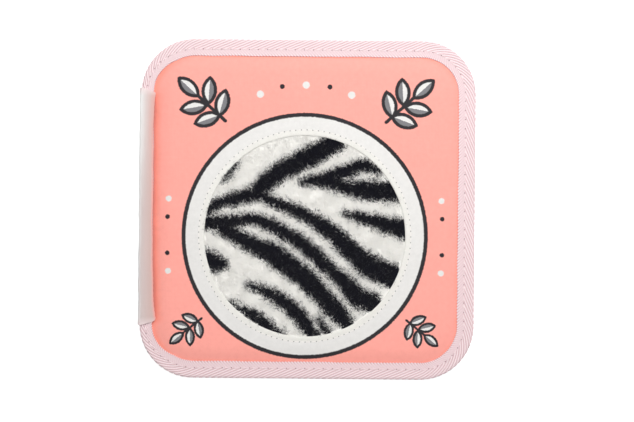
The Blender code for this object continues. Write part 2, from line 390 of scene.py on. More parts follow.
def nearest(tree, distances):
    """The least of several distances, which joins the shapes."""
    least = distances[0]
    for distance in distances[1:]:
        least = add(tree, "ShaderNodeMath", {0: least, 1: distance}, operation="MINIMUM")
    return least


def outlined(tree, distance, half_line):
    """The mask of a line along the edge of a shape."""
    off = add(tree, "ShaderNodeMath", {0: distance}, operation="ABSOLUTE")
    return inked(tree, off, half_line)


def half_inked(tree, place, half_length, half_width):
    """Distance to a pointed leaf, and the mask of its right half."""
    shape = leaf_shape(tree, place, half_length, half_width)
    side = add(tree, "ShaderNodeSeparateXYZ", {0: place})
    right = add(tree, "ShaderNodeMath", {0: side, 1: 0.0}, operation="GREATER_THAN")
    return shape, add(tree, "ShaderNodeMath", {0: right, 1: inked(tree, shape)}, operation="MULTIPLY")


def mirrored(tree, place):
    """The place with its left half folded over on its right."""
    parts = add(tree, "ShaderNodeSeparateXYZ", {0: place}).node
    side = add(tree, "ShaderNodeMath", {0: parts.outputs[0]}, operation="ABSOLUTE")
    return add(tree, "ShaderNodeCombineXYZ", {0: side, 1: parts.outputs[1]})


def sprig(tree, place, line):
    """A stem with five leaves: layers of white leaves, their grey halves and the charcoal lines."""
    folded = mirrored(tree, place)
    spots = [(place, 0, 10.5, 0), (folded, 5.4, 2.2, -52), (folded, 5.2, -6.3, -62)]
    drawn = [half_inked(tree, moved_to(tree, *spot), 6.0, 2.9) for spot in spots]
    foot = add(tree, "ShaderNodeVectorMath", {0: place, 1: (0, -13, 0)}, operation="MAXIMUM")
    foot = add(tree, "ShaderNodeVectorMath", {0: foot, 1: (0, 5, 0)}, operation="MINIMUM")
    stem = add(tree, "ShaderNodeVectorMath", {0: place, 1: foot}, "Value", operation="DISTANCE")
    leaves = nearest(tree, [shape for shape, _ in drawn])
    layers = [(inked(tree, stem, line), CHARCOAL), (inked(tree, leaves), WHITE_INK)]
    layers += [(half, GREY_INK) for _, half in drawn]
    return layers + [(outlined(tree, leaves, line), CHARCOAL)]


# The inks of the book. White is the bare cloth; the greys are printed in a fine grain.
CORAL_INK = "FFA79B"
BLUSH_INK = "F8D0CA"
CREAM_INK = "EFE7DA"
WHITE_INK = "E5E3E0"
HEM_WHITE = "E8E6E0"
GREY_INK = "7B7A7D"
CHARCOAL = "130F15"
PALE_GREY = "A9A9AD"
# Painted shade beside the seams: factors that darken the cloth's colour, from none to the darkest at a seam.
PAINTED_SEAM_SHADES = (
    (0.0, "FFFFFF"), (0.35, "FDF4EF"), (0.59, "F8E3D9"), (0.7, "EFD5CD"), (0.83, "DDC6C0"), (1.0, "D4C6C2"))


def plain_weave(tree, place, scale):
    """The heights of yarns that cross over and under each other."""
    weft = add(tree, "ShaderNodeTexWave", {"Vector": place, "Scale": scale}, 1, bands_direction="X")
    warp = add(tree, "ShaderNodeTexWave", {"Vector": place, "Scale": scale}, 1, bands_direction="Y")
    return add(tree, "ShaderNodeMath", {0: weft, 1: warp}, operation="MULTIPLY")


def printed_cloth(name, ground, motif):
    """Close woven polyester, heat-printed: soft matt colour, a slight mottle, a fine weave and a soft sheen."""
    tree = start_material(name)
    place = in_mm(tree)
    flat = add(tree, "ShaderNodeVectorMath", {0: place, 1: (1, 1, 0)}, operation="MULTIPLY")
    bleed = add(tree, "ShaderNodeTexNoise", {"Vector": flat, "Scale": 1.3, "Detail": 1.0}, "Color")
    bleed = add(tree, "ShaderNodeVectorMath", {0: bleed, 1: (0.5, 0.5, 0.5)}, operation="SUBTRACT")
    bleed = add(tree, "ShaderNodeVectorMath", {0: bleed, 1: (0.5, 0.5, 0)}, operation="MULTIPLY")
    spread = add(tree, "ShaderNodeVectorMath", {0: flat, 1: bleed}, operation="ADD")
    colour = linear(ground)
    for mask, ink in motif(tree, spread):
        layer = {0: mask, 6: colour, 7: linear(ink)}
        colour = add(tree, "ShaderNodeMix", layer, 2, data_type="RGBA")
    # Painted shade along the seams, kept on the mesh as a number for each point, multiplies the colour.
    painted_seam_shade = add(tree, "ShaderNodeAttribute", output="Fac", attribute_name="painted_seam_shade")
    painted_shade_layer = {0: 1.0, 6: colour, 7: colour_steps(tree, painted_seam_shade, PAINTED_SEAM_SHADES)}
    colour = add(tree, "ShaderNodeMix", painted_shade_layer, 2, data_type="RGBA", blend_type="MULTIPLY")
    mottle = add(tree, "ShaderNodeTexNoise", {"Vector": flat, "Scale": 0.45, "Detail": 5.0, "Roughness": 0.6})
    level = add(tree, "ShaderNodeMapRange", {0: mottle, 1: 0.25, 2: 0.75, 3: 0.955, 4: 1.045})
    colour = add(tree, "ShaderNodeVectorMath", {0: colour, "Scale": level}, operation="SCALE")
    # The yarns lie 0.35 mm apart in the cloth, and are drawn twice as coarse, because finer ones don't show.
    weave = plain_weave(tree, flat, 0.45)
    height = add(tree, "ShaderNodeMath", {0: weave, 1: 0.35, 2: mottle}, operation="MULTIPLY_ADD")
    return new_material(name, colour, 0.58, height, 0.06 * MM, 0.12, 0.25)


def tiled(tree, place, width, height):
    """The place as seen from the middle of the nearest tile."""
    sizes = (width, height, 1)
    share = add(tree, "ShaderNodeVectorMath", {0: place, 1: sizes}, operation="DIVIDE")
    share = add(tree, "ShaderNodeVectorMath", {0: share}, operation="FRACTION")
    share = add(tree, "ShaderNodeVectorMath", {0: share, 1: (0.5, 0.5, 0)}, operation="SUBTRACT")
    return add(tree, "ShaderNodeVectorMath", {0: share, 1: sizes}, operation="MULTIPLY")


def garden(tree, place):
    """The front: a white ring round the window, sprigs in the corners and dots between them."""
    centre = (WINDOW_CENTRE[0] / MM, WINDOW_CENTRE[1] / MM, 0)
    near = add(tree, "ShaderNodeVectorMath", {0: place, 1: centre}, operation="SUBTRACT")
    ring = add(tree, "ShaderNodeVectorMath", {0: near}, "Value", operation="LENGTH")
    rim = add(tree, "ShaderNodeMath", {0: ring, 1: 57.0}, operation="SUBTRACT")
    folded = mirrored(tree, near)
    layers = [(inked(tree, rim), WHITE_INK), (inked(tree, ring, 49.8, 0.6), HEM_WHITE)]
    layers.append((outlined(tree, rim, 0.95), CHARCOAL))
    layers += sprig(tree, moved_to(tree, folded, 47.5, 62.5, -48), 0.8)
    layers += sprig(tree, moved_to(tree, folded, 54.6, -44.4, -129, 0.64), 0.85)
    for ink, spots in (
        (WHITE_INK, ((0, 71, 1.7), (21.5, 66.5, 1.7), (64.2, 17, 1.4), (64.2, -17, 1.4))),
        (CHARCOAL, ((11.2, 70.2, 1.2), (64.6, 8.5, 1.1), (64.6, -8.5, 1.1))),
    ):
        shapes = [round_shape(tree, folded, *spot) for spot in spots]
        layers.append((inked(tree, nearest(tree, shapes)), ink))
    return layers


def scattered_leaves(ink, half_ink):
    """Leaves in rows, every one leaning the same way, with one half in another ink."""
    def motif(tree, place):
        near = moved_to(tree, tiled(tree, place, 24, 24), 0, 0, 38)
        shape, half = half_inked(tree, near, 8.5, 4.2)
        corner = tiled(tree, moved_to(tree, place, 12, 12), 24, 24)
        dot = round_shape(tree, corner, 0, 0, 1.6)
        line = outlined(tree, shape, 0.6)
        return [(inked(tree, shape), ink), (half, half_ink), (line, CHARCOAL), (inked(tree, dot), ink)]
    return motif


def dots(ink, size, pitch):
    """Dots in rows, each row shifted by half a step."""
    def motif(tree, place):
        one = round_shape(tree, tiled(tree, place, pitch, pitch), 0, 0, size)
        shifted = moved_to(tree, place, pitch / 2, pitch / 2)
        other = round_shape(tree, tiled(tree, shifted, pitch, pitch), 0, 0, size)
        return [(inked(tree, nearest(tree, [one, other])), ink)]
    return motif


def waves(ink, pitch, half_line):
    """Level waves, one above another."""
    def motif(tree, place):
        parts = add(tree, "ShaderNodeSeparateXYZ", {0: place}).node
        swing = add(tree, "ShaderNodeMath", {0: parts.outputs[0], 1: 0.3}, operation="MULTIPLY")
        swing = add(tree, "ShaderNodeMath", {0: swing}, operation="SINE")
        high = add(tree, "ShaderNodeMath", {0: swing, 1: 2.4, 2: parts.outputs[1]}, operation="MULTIPLY_ADD")
        off = add(tree, "ShaderNodeMath", {0: high, 1: pitch}, operation="PINGPONG")
        return [(inked(tree, off, half_line), ink)]
    return motif


def rings(inks, steps):
    """Broad rings round the middle of the page."""
    def motif(tree, place):
        reach = add(tree, "ShaderNodeVectorMath", {0: place}, "Value", operation="LENGTH")
        layers = []
        for radius, ink in zip(steps, inks):
            off = add(tree, "ShaderNodeMath", {0: reach, 1: radius}, operation="SUBTRACT")
            layers += [(inked(tree, off), ink), (outlined(tree, off, 0.8), CHARCOAL)]
        return layers
    return motif


def face_print(slot, name, ground, motif):
    """The material slot of a face cloth, and its material."""
    return slot, printed_cloth(name, ground, motif)


BROAD_RINGS = rings((WHITE_INK, CORAL_INK, WHITE_INK, GREY_INK), (54, 42, 28, 13))
PRINTS = {
    "front_cover_upper": face_print("coral_cloth", "coral printed polyester", CORAL_INK, garden),
    "front_cover_lower": face_print("grey_cloth", "grey printed polyester", PALE_GREY, waves(WHITE_INK, 9, 1.5)),
    "leaf_a_upper": face_print("blush_cloth", "blush polyester with rings", BLUSH_INK, BROAD_RINGS),
    "leaf_a_lower": face_print("cream_cloth", "cream polyester with dots", CREAM_INK, dots(CORAL_INK, 3.4, 19)),
    "leaf_b_upper": face_print(
        "grey_cloth", "grey polyester with leaves", PALE_GREY, scattered_leaves(WHITE_INK, CORAL_INK)),
    "leaf_b_lower": face_print("blush_cloth", "blush polyester with waves", BLUSH_INK, waves(CHARCOAL, 7, 1.3)),
    "back_cover_upper": face_print(
        "cream_cloth", "cream polyester with leaves", CREAM_INK, scattered_leaves(WHITE_INK, GREY_INK)),
    "back_cover_lower": face_print("coral_cloth", "coral polyester with dots", CORAL_INK, dots(WHITE_INK, 1.7, 16)),
}


def finish_cloth(cloth, leaf, side, **area):
    """Gives a face cloth its thickness and evenness, and hangs it on its leaf."""
    smoother = cloth.modifiers.new("evenness", "SUBSURF")
    smoother.levels = smoother.render_levels = 1
    wall = cloth.modifiers.new("thickness", "SOLIDIFY")
    wall.thickness = CLOTH_THICKNESS
    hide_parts(f"{leaf}_{side}_cloth")
    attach(cloth, leaf)


def buckled(settled, depth, run, inset):
    """The crown of a page, let down between its buckles by a depth where it is padded."""
    padded = (crown(inset, run) - SEAM_HALF) / (PAGE_HALF - SEAM_HALF)
    return crown(inset, run) - depth * padded * (1 - np.clip(settled / np.percentile(settled, 98), 0, 1))


places, faces = page_grid("leaf_a", CLOTH_INSET, CLOTH_CELLS)
page_heights = settle(places, faces, *seam_weights(edge_distance("leaf_a", places)), 7)
page_heights = page_heights.reshape(CLOTH_CELLS + 1, CLOTH_CELLS + 1)

# One settled page serves seven faces, each turned another way. The book lies flat on the back cover's underside.
for number, leaf in enumerate(LEAVES):
    for side, sign in (("upper", 1), ("lower", -1)):
        if (leaf, side) == ("front_cover", "upper"):
            continue
        places, faces = page_grid(leaf, CLOTH_INSET, CLOTH_CELLS)
        turned = np.rot90(page_heights, number + (sign < 0)).ravel()
        rise = buckled(turned, PAGE_DEPTH, PAGE_RUN, edge_distance(leaf, places))
        if (leaf, side) == ("back_cover", "lower"):
            rise = np.minimum(rise, PAGE_HALF - 0.02 * MM)
        if sign < 0:
            faces = [face[::-1] for face in faces]
        heights = outline_of(leaf)[2] + sign * rise
        material = PRINTS[f"{leaf}_{side}"][1]
        cloth = new_object(f"{leaf}_{side}_face", np.column_stack([places, heights]), faces, material)
        finish_cloth(cloth, leaf, side)


def set_attribute(mesh, name, values):
    """Keeps a number for each point of a mesh, for its material or its node tree."""
    kept = mesh.attributes.new(name, "FLOAT", "POINT")
    kept.data.foreach_set("value", np.asarray(values, np.float32))


def ring_faces(rows, around, first=0):
    """Faces between closed rings of points that follow each other from a first point on."""
    steps = [(first + row * around, i, (i + 1) % around) for row in range(rows) for i in range(around)]
    return [[near + i, near + around + i, near + around + j, near + j] for near, i, j in steps]


def reach_of(leaf, directions, inset):
    """How far each direction runs from the middle of the window to the line at an inset from the leaf's edge."""
    near, far = np.zeros(len(directions)), np.full(len(directions), 0.2)
    for _ in range(40):
        middle = (near + far) / 2
        inside = edge_distance(leaf, WINDOW_CENTRE + directions * middle[:, None]) > inset
        near, far = np.where(inside, middle, near), np.where(inside, far, middle)
    return near


TAPE_REACH = 7.9 * MM
STRIP_WIDTH = 7.05 * MM


def near_end(distance, reach):
    """From 1 at an end of the hinge strip, smoothly to 0 at a reach from it."""
    return np.clip(1 - distance / reach, 0, 1) ** 2


def strip_edge(along, foot, head):
    """How far a hinge strip's free edge lies from its fold: it wavers, and the strip widens to both ends."""
    from_foot, from_head = along - foot, head - along
    waist = np.exp(-((along - 16 * MM) / (30 * MM)) ** 2)
    width = STRIP_WIDTH + 1.7 * MM * near_end(from_foot, 22 * MM) + 1.0 * MM * near_end(from_head, 17 * MM)
    width -= 2.6 * MM * near_end(from_foot, 2.4 * MM) + 1.2 * MM * near_end(from_head, 1.6 * MM)
    width -= 0.48 * MM * waist
    width += 0.15 * MM * np.sin(along / (9 * MM)) + 0.1 * MM * np.sin(along / (3.1 * MM))
    return width + 0.06 * MM * np.sin(2 * math.pi * along / (2.4 * MM))


# The front cover's face has the round window in it. Its edge is turned under, and sewn down on the plush.
angles = np.arange(CELLS_ROUND) * 2 * math.pi / CELLS_ROUND
directions = np.column_stack([np.cos(angles), np.sin(angles)])
outer = reach_of("front_cover", directions, CLOTH_INSET)
hem = WINDOW_RADIUS + 0.6 * MM
rows = [hem + (outer - hem) * (step / CELLS_OUT) for step in range(CELLS_OUT + 1)]
places = np.vstack([WINDOW_CENTRE + directions * row[:, None] for row in rows])
inset = edge_distance("front_cover", places)
from_window = np.linalg.norm(places - WINDOW_CENTRE, axis=1) - WINDOW_RADIUS
sewn, spare = seam_weights(inset)
sewn = np.maximum(sewn, from_window < WINDOW_SEAM + 0.8 * MM)
spare = np.maximum(spare, 0.5 * np.clip(1 - from_window / (14 * MM), 0, 1))
settled = settle(places, ring_faces(CELLS_OUT, CELLS_ROUND), sewn, spare, 8)
level = outline_of("front_cover")[2]
outside_seam = np.clip((from_window - WINDOW_SEAM) / (6 * MM), 0, 1)
heights = buckled(settled, FRONT_DEPTH * outside_seam, FRONT_RUN, inset)
heights -= 0.14 * MM * np.exp(-((from_window - WINDOW_SEAM) / (0.8 * MM)) ** 2)

# The hinge strip's seam draws the face down beside the strip, and painted shade darkens its colour there.
from_middle = abs(places[:, 1])
beside_strip = np.clip((-62 * MM - places[:, 0]) / (6 * MM), 0, 1)
beside_strip *= np.clip((56 * MM - from_middle) / (4 * MM), 0, 1)
valley = beside_strip * np.exp(-(np.maximum(inset - TAPE_WIDTH, 0) / (1.5 * MM)))
heights -= 0.2 * MM * valley * (inset > 2 * MM)
strip_low, strip_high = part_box("front_cover_hinge_strip")
from_strip = places[:, 0] - strip_low[0] - strip_edge(places[:, 1], strip_low[1], strip_high[1])
along_strip = np.clip((70 * MM - from_middle) / (25 * MM), 0, 1)
along_strip *= np.clip((56 * MM - from_middle) / (2 * MM), 0, 1)
# Painted shade: darkest at the strip's free edge, fading over 4 mm, and at half strength along the tape's inner
# edge, fading over 1.3 mm.
painted_seam_shade = np.maximum(1 - from_strip / (4 * MM), 0) * along_strip
painted_seam_shade = np.maximum(painted_seam_shade, 0.5 * np.clip(1 - (inset - TAPE_REACH) / (1.3 * MM), 0, 1))

# The turned edge of the window in section: how far past the window and how far below the crown, in millimetres.
TURNED_EDGE = ((0.0, 0.1), (-0.3, 0.3), (-0.15, 0.52), (0.7, 0.6), (3.8, 0.62))
points = np.column_stack([places, level + heights])
for past, fall in TURNED_EDGE:
    row = WINDOW_CENTRE + directions * (WINDOW_RADIUS + past * MM)
    height = np.full(CELLS_ROUND, level + PAGE_HALF - fall * MM)
    points = np.vstack([np.column_stack([row, height]), points])
faces = ring_faces(CELLS_OUT + len(TURNED_EDGE), CELLS_ROUND)
front = new_object("front_cover_window_face", points, faces, PRINTS["front_cover_upper"][1])
set_attribute(front.data, "painted_seam_shade", np.concatenate([np.zeros(CELLS_ROUND * len(TURNED_EDGE)), painted_seam_shade]))
half = outline_of("front_cover")[1] - CLOTH_INSET
opening = math.pi * (WINDOW_RADIUS - WINDOW_TURNING) ** 2
finish_cloth(front, "front_cover", "upper", area=4 * half[0] * half[1] - opening)

# Window seam
# One row of lockstitch in white polyester thread holds the turned edge of the window down on the plush.
# Each stitch pulls a little into the cloth, and its needle hole shows as a small grey dot.
WINDOW_STITCHES = 117
STITCH_HALF_SHARE = 0.42


def node_group(name, sockets):
    """An empty Geometry Nodes tree with named inputs, and its input node."""
    tree = bpy.data.node_groups.new(name, "GeometryNodeTree")
    tree.interface.new_socket("Geometry", in_out="OUTPUT", socket_type="NodeSocketGeometry")
    for socket, kind in {"Geometry": "Geometry", **sockets, "Material": "Material"}.items():
        tree.interface.new_socket(socket, in_out="INPUT", socket_type=f"NodeSocket{kind}")
    return tree, tree.nodes.new("NodeGroupInput").outputs


def close_group(tree, geometry, inputs):
    """Ends a tree: its instances become a mesh of the given material."""
    real = add(tree, "GeometryNodeRealizeInstances", {0: geometry})
    done = add(tree, "GeometryNodeSetMaterial", {0: real, "Material": inputs["Material"]})
    out = tree.nodes.new("NodeGroupOutput")
    tree.links.new(done, out.inputs[0])


def grown(name, source, tree, values, smooth=True):
    """The plain mesh that a node tree makes of a source object, which is used up."""
    modifier = source.modifiers.new(name, "NODES")
    modifier.node_group = tree
    for item in tree.interface.items_tree:
        if item.in_out == "INPUT" and item.name in values:
            modifier[item.identifier] = values[item.name]
    graph = bpy.context.evaluated_depsgraph_get()
    mesh = bpy.data.meshes.new_from_object(source.evaluated_get(graph), depsgraph=graph)
    bpy.data.objects.remove(source)
    obj = bpy.data.objects.new(name, mesh)
    scene.collection.objects.link(obj)
    if smooth:
        mesh.shade_smooth()
    return obj


def path_curve(name, points, closed=False):
    """A curve object of straight pieces through points."""
    curve = bpy.data.curves.new(name, "CURVE")
    curve.dimensions = "3D"
    line = curve.splines.new("POLY")
    line.points.add(len(points) - 1)
    for knot, point in zip(line.points, points):
        knot.co = (*point, 1)
    line.use_cyclic_u = closed
    obj = bpy.data.objects.new(name, curve)
    scene.collection.objects.link(obj)
    return obj


def speckled(tree, scale, dark, light):
    """Two tones that pass softly into each other, and the share of the second one."""
    share = add(tree, "ShaderNodeTexNoise", {"Vector": in_mm(tree), "Scale": scale, "Detail": 1.0})
    tones = {0: share, 6: linear(dark), 7: linear(light)}
    return add(tree, "ShaderNodeMix", tones, 2, data_type="RGBA"), share


def sewing_thread(name, dark, light):
    """Spun polyester sewing thread: twisted, with a faint silky gleam."""
    colour, twist = speckled(start_material(name), 6.0, dark, light)
    return new_material(name, colour, 0.55, twist, 0.05 * MM)


def needle_hole(name, dark, light):
    """A needle hole is a dent too small to model: only the shade in it is seen."""
    colour, _ = speckled(start_material(name), 1.5, dark, light)
    return new_material(name, colour, 1.0)


def sew(name, path, stitches, thread, hole):
    """A row of stitches with a needle hole between each two, along a path that is used up."""
    knots = [knot.co[:3] for knot in path.data.splines[0].points]
    length = sum(math.dist(a, b) for a, b in zip(knots, knots[1:]))
    return grown(name, path, RUNNING_SEAM, {
        "Stitches": stitches, "Half length": STITCH_HALF_SHARE * length / stitches, "Thread radius": thread[0],
        "Hole radius": hole[0], "Hole": hole[1], "Material": thread[1]})


WHITE_THREAD = sewing_thread("white sewing thread", "EEE7E3", "FAF5F0")
WHITE_HOLE = needle_hole("needle hole in white cloth", "4A4646", "8E8986")

tree, inputs = node_group("running seam", {
    "Stitches": "Int", "Half length": "Float", "Thread radius": "Float", "Hole radius": "Float",
    "Hole": "Material"})
spots = add(tree, "ShaderNodeMath", {0: inputs["Stitches"], 1: 2.0, 2: 1.0}, operation="MULTIPLY_ADD")
row = add(tree, "GeometryNodeCurveToPoints", {"Curve": inputs["Geometry"], "Count": spots}).node
turn = add(tree, "FunctionNodeAlignRotationToVector", {"Vector": row.outputs["Tangent"]}, axis="X")
odd = add(tree, "ShaderNodeMath", {0: add(tree, "GeometryNodeInputIndex"), 1: 2.0}, operation="MODULO")
even = add(tree, "ShaderNodeMath", {0: 1.0, 1: odd}, operation="SUBTRACT")
bead = add(tree, "GeometryNodeMeshUVSphere", {"Segments": 6, "Rings": 5, "Radius": 1.0})
thread_size = add(tree, "ShaderNodeCombineXYZ", {
    0: inputs["Half length"], 1: inputs["Thread radius"], 2: inputs["Thread radius"]})
hole_depth = add(tree, "ShaderNodeMath", {0: inputs["Thread radius"], 1: 0.6}, operation="MULTIPLY")
hole_size = add(tree, "ShaderNodeCombineXYZ", {
    0: inputs["Hole radius"], 1: inputs["Hole radius"], 2: hole_depth})
both = tree.nodes.new("GeometryNodeJoinGeometry")
for chosen, size, look in ((odd, thread_size, inputs["Material"]), (even, hole_size, inputs["Hole"])):
    beads = add(tree, "GeometryNodeInstanceOnPoints", {
        "Points": row.outputs["Points"], "Selection": chosen, "Instance": bead, "Rotation": turn,
        "Scale": size})
    beads = add(tree, "GeometryNodeRealizeInstances", {0: beads})
    tree.links.new(add(tree, "GeometryNodeSetMaterial", {0: beads, "Material": look}), both.inputs[0])
out = tree.nodes.new("NodeGroupOutput")
tree.links.new(both.outputs[0], out.inputs[0])
RUNNING_SEAM = tree

seam_height = level + PAGE_HALF - 0.12 * MM
seam_radius = WINDOW_RADIUS + WINDOW_SEAM
seam_path = [[*(WINDOW_CENTRE + d * seam_radius), seam_height] for d in (*directions, directions[0])]
seam_path = path_curve("seam_path", seam_path)
window_seam = sew(
    "window_seam", seam_path, WINDOW_STITCHES, (0.13 * MM, WHITE_THREAD), (0.27 * MM, WHITE_HOLE))
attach(window_seam, "front_cover")

# Plush patch
# A disc of short-pile polyester fleece, striped black on ivory, lies behind the window, caught in its seam.
# The pile is knitted upright, then tumbled, so that it stands in small tufts that lean all ways.
PATCH_RADIUS = 52 * MM
PILE_CELL = 0.55 * MM
PILE_DENSITY = 8.0
PILE_LENGTH = 2.5 * MM
STRAND_RADIUS = 0.17 * MM
STRAND_FLATNESS = 0.3
PATCH_EASE = 0.3 * MM
BACKING_RISE = 0.5 * MM
BACKING_THICKNESS = 0.45 * MM

# Middle line and half width of each dark stripe, in millimetres from the middle of the window.
STRIPES = (
    ((14.9, 43.1, 4), (6.4, 39, 5), (-2.6, 34.2, 4.8), (-11.1, 29.7, 4.6), (-18.3, 24.3, 4.2),
     (-22.9, 19.4, 4), (-30.6, 17.1, 3.2), (-38.9, 14.9, 2.6), (-46.6, 11.2, 2.8)),
    ((-20.3, 19, 2.4), (-15.9, 16, 2.7), (-7.5, 12.9, 3), (0.9, 9.2, 3.2), (7.4, 5.2, 3.8), (14.1, 0.5, 4.1),
     (20.2, -5.2, 4.5), (25.7, -10.6, 5), (31.6, -14.8, 5.6), (41.8, -19.3, 5.5)),
    ((9.1, 28, 1.7), (16.8, 29.3, 3.2), (20.5, 30.2, 3.4), (23.2, 31.6, 3.1), (29, 33, 2.9),
     (34.7, 30.6, 1.9)),
    ((-1.1, 24.8, 1.8), (5.9, 26, 2.9), (13.6, 24.6, 3.4), (21.3, 22.2, 3.4), (29, 21.2, 4.7),
     (44.3, 20.5, 4.7)),
    ((18.9, 10.4, 1.4), (25.1, 8.5, 2.4), (32.8, 6.6, 3.2), (40.5, 4.5, 4), (47.5, 3, 5)),
    ((-46.6, 5.4, 3.4), (-37.6, 5.5, 3.4), (-32.5, 5.8, 3.3), (-28.6, 6.9, 2.6), (-21.6, 6.8, 2.8),
     (-15.1, 4.3, 3.1), (-8.8, 0.6, 3.2), (-3, -2.5, 3.5), (2.9, -7.3, 3.6), (9.5, -13.5, 3.5),
     (15.6, -18.9, 3.4), (21, -23.7, 4.2), (25.8, -29.5, 5), (32, -31.2, 4.6)),
    ((-37.9, 2.3, 3.4), (-31.5, -1.4, 3.7), (-22.9, -5.5, 4.1), (-14.6, -9, 5.1), (-7.1, -14.5, 5.4),
     (-0.3, -19.3, 5), (5.9, -25.4, 4.8), (11.3, -31.5, 4.5), (16.9, -37.3, 4.4), (20.2, -41, 3.4)),
    ((-25.8, -23.6, 1.2), (-21.8, -25.4, 2.1), (-14.8, -28.2, 2.9), (-7.9, -32.2, 3.4), (-2.6, -37.7, 3.6),
     (5.3, -47.1, 3.2)),
    ((-35.7, -31.4, 0.6), (-28, -35.4, 2), (-21.6, -39.4, 2.8), (-14.6, -44.6, 2.7), (-9.5, -47, 1.8)),
    ((-46.6, -8.4, 1.6), (-41.8, -13.4, 4.6), (-38.5, -14.2, 3.1)),
    ((7.6, -39.4, 1.5), (11, -45.5, 1.9)),
    ((-31.9, 33.5, 1), (-36.3, 27.8, 1.4), (-38.3, 24.6, 0.6)),
)


def stripe_depth(places):
    """How deep in a dark stripe each place lies, in millimetres, less than zero in the white between them."""
    spots = (places - WINDOW_CENTRE) / MM
    depth = np.full(len(spots), -99.0)
    for stripe in STRIPES:
        for (x0, y0, r0), (x1, y1, r1) in zip(stripe, stripe[1:]):
            start, run = np.array([x0, y0]), np.array([x1 - x0, y1 - y0])
            share = np.clip((spots - start) @ run / (run @ run), 0, 1)
            off = np.linalg.norm(spots - start - share[:, None] * run, axis=1)
            depth = np.maximum(depth, r0 + (r1 - r0) * share - off)
    return depth


def disc(centre, radius, cell, height):
    """The points of a flat round mesh and its faces, in rings of even width."""
    rings_across = round(radius / cell)
    around = 8 * (round(2 * math.pi * radius / cell) // 8)
    angles = np.arange(around) * 2 * math.pi / around
    points = [[*centre, height]]
    for ring in range(1, rings_across + 1):
        spots = centre + radius * ring / rings_across * np.column_stack([np.cos(angles), np.sin(angles)])
        points += [[x, y, height] for x, y in spots]
    faces = [[0, 1 + i, 1 + (i + 1) % around] for i in range(around)]
    faces += ring_faces(rings_across - 1, around, 1)
    return np.array(points), faces


# Fleece fibre: matt, very soft, ivory white and blue-black, each strand a little lighter or darker.
tree = start_material("striped fleece")
place = in_mm(tree)
depth = add(tree, "ShaderNodeAttribute", output="Fac", attribute_name="depth")
tufts = add(tree, "ShaderNodeTexNoise", {"Vector": place, "Scale": 0.9, "Detail": 4.0, "Roughness": 0.65})
shift = add(tree, "ShaderNodeMapRange", {0: tufts, 1: 0.3, 2: 0.7, 3: -2.1, 4: 0.4})
strand = add(tree, "ShaderNodeAttribute", output="Fac", attribute_name="shade")
stray = add(tree, "ShaderNodeMath", {0: strand, 1: 2.5, 2: shift}, operation="MULTIPLY_ADD")
dark = add(tree, "ShaderNodeMath", {0: depth, 1: stray}, operation="ADD")
dark = add(tree, "ShaderNodeMapRange", {0: dark, 1: -0.6, 2: 0.7})
tones = {}
for name, first, second in (("ivory", "FDFBF6", "FFFEFB"), ("black", "05050E", "10101E")):
    by_strand = {0: strand, 6: linear(first), 7: linear(second)}
    tones[name] = add(tree, "ShaderNodeMix", by_strand, 2, data_type="RGBA")
striped = {0: dark, 6: tones["ivory"], 7: tones["black"]}
fleece_colour = add(tree, "ShaderNodeMix", striped, 2, data_type="RGBA")
FLEECE = new_material("striped fleece", fleece_colour, 0.9, tufts, 0.3 * MM, 0.3, 0.12)

tree, inputs = node_group("fleece pile", {
    "Density": "Float", "Length": "Float", "Radius": "Float", "Flatness": "Float", "Seed": "Int"})
spread = add(tree, "GeometryNodeDistributePointsOnFaces", {
    "Mesh": inputs["Geometry"], "Density": inputs["Density"], "Seed": inputs["Seed"]})
hair = add(tree, "GeometryNodeMeshCone", {
    "Vertices": 3, "Radius Bottom": inputs["Radius"], "Radius Top": 0.0,
    "Depth": inputs["Length"]}, fill_type="NONE")
flat = add(tree, "ShaderNodeCombineXYZ", {0: 1.0, 1: inputs["Flatness"], 2: 1.0})
hair = add(tree, "GeometryNodeTransform", {"Geometry": hair, "Scale": flat})
where = add(tree, "GeometryNodeInputPosition")
lean = add(tree, "ShaderNodeTexNoise", {"Vector": where, "Scale": 330.0, "Detail": 2.0}, "Color")
lean = add(tree, "ShaderNodeVectorMath", {0: lean, 1: (0.5, 0.5, 0.5)}, operation="SUBTRACT")
lean = add(tree, "ShaderNodeVectorMath", {0: lean, 1: (3.2, 3.2, 0)}, operation="MULTIPLY")
stray = add(tree, "FunctionNodeRandomValue", {
    0: (-0.5, -0.5, -0.08), 1: (0.5, 0.5, 0.08), "Seed": inputs["Seed"]}, data_type="FLOAT_VECTOR")
aim = add(tree, "ShaderNodeVectorMath", {0: lean, 1: stray}, operation="ADD")
aim = add(tree, "ShaderNodeVectorMath", {0: aim, 1: (-0.35, 0.45, 0.24)}, operation="ADD")
turn = add(tree, "FunctionNodeAlignRotationToVector", {"Vector": aim})
turn = add(tree, "FunctionNodeAlignRotationToVector", {
    "Rotation": turn, "Vector": (0, 0, 1)}, axis="Y", pivot_axis="Z")
long = add(tree, "FunctionNodeRandomValue", {2: 0.7, 3: 1.15, "Seed": inputs["Seed"]}, 1)
pile = add(tree, "GeometryNodeInstanceOnPoints", {
    "Points": spread, "Instance": hair, "Rotation": turn, "Scale": long})
tint = add(tree, "FunctionNodeRandomValue", {2: 0.0, 3: 1.0, "Seed": 5}, 1)
tinted = {"Geometry": pile, "Name": "shade", "Value": tint}
pile = add(tree, "GeometryNodeStoreNamedAttribute", tinted, domain="INSTANCE")
close_group(tree, pile, inputs)

plush_low, plush_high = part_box("plush_patch")
PILE_FOOT = plush_high[2] - 0.9 * MM
ground_points, ground_faces = disc(WINDOW_CENTRE, WINDOW_RADIUS - 0.5 * MM, PILE_CELL, PILE_FOOT)
bed = new_object("pile_bed", ground_points, ground_faces, FLEECE)
set_attribute(bed.data, "depth", stripe_depth(ground_points[:, :2]))
pile = grown("plush_pile", bed, tree, {
    "Density": PILE_DENSITY / MM ** 2, "Length": PILE_LENGTH, "Radius": STRAND_RADIUS,
    "Flatness": STRAND_FLATNESS, "Seed": 11, "Material": FLEECE}, smooth=False)

